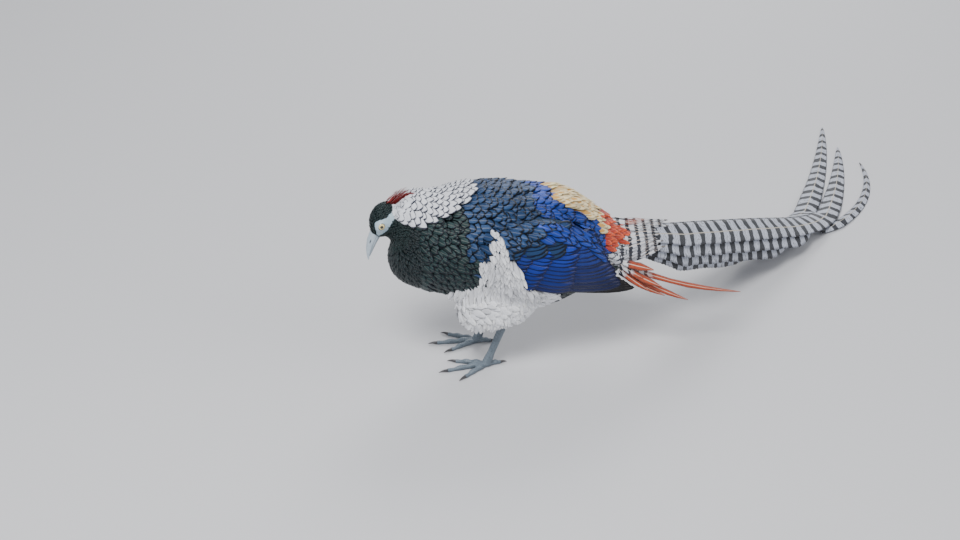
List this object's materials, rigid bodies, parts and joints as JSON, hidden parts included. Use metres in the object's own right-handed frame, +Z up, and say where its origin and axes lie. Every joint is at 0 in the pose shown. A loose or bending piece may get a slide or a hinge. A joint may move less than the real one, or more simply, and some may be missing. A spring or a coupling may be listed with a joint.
{
  "type": "male lady amherst's pheasant, still model",
  "caption": "Life-size standing male Lady Amherst's pheasant, head bowed, with crest, white cape, folded wings and a long barred tail that lies on the ground.",
  "frame": {"origin": "on the floor, under the middle of the whole bird's box", "axes": "+Z up, -X the way the bird faces, -Y its left side; the tail runs to +X and +Y"},
  "size_m": [0.7162, 0.5784, 0.2127],
  "materials": {
    "dark_plumage": "satin, faintly metallic green feathers",
    "white_plumage": "soft matt feathers",
    "wing_plumage": "satin, metallic blue feathers",
    "crest_plumage": "glossy hair-like feathers",
    "covert_plumage": "white barred with black, orange-red tips",
    "tail_plumage": "silver white with black bars",
    "bill_horn": "satin pale horn",
    "claw_horn": "satin dark horn",
    "leg_skin": "scaled bluish-grey skin",
    "eye": "wet gloss, pale yellow iris"
  },
  "bodies": {
    "root": {"bill_lower": "bill_horn", "bill_upper": "bill_horn", "cape": "white_plumage", "claw_left_hind": "claw_horn", "claw_left_inner": "claw_horn", "claw_left_middle": "claw_horn", "claw_left_outer": "claw_horn", "claw_right_hind": "claw_horn", "claw_right_inner": "claw_horn", "claw_right_middle": "claw_horn", "claw_right_outer": "claw_horn", "coverts_left": "covert_plumage", "coverts_right": "covert_plumage", "crest": "crest_plumage", "eye_left": "eye", "eye_right": "eye", "head": "dark_plumage", "leg_left": "leg_skin", "leg_right": "leg_skin", "neck": "dark_plumage", "tail_base": "tail_plumage", "tail_bend": "tail_plumage", "tail_middle": "tail_plumage", "tail_side_left": "tail_plumage", "tail_tip_left": "tail_plumage", "tail_tip_right": "tail_plumage", "thigh_left": "white_plumage", "thigh_right": "white_plumage", "torso": "dark_plumage", "wing_left": "wing_plumage", "wing_right": "wing_plumage"}
  },
  "joints": []
}
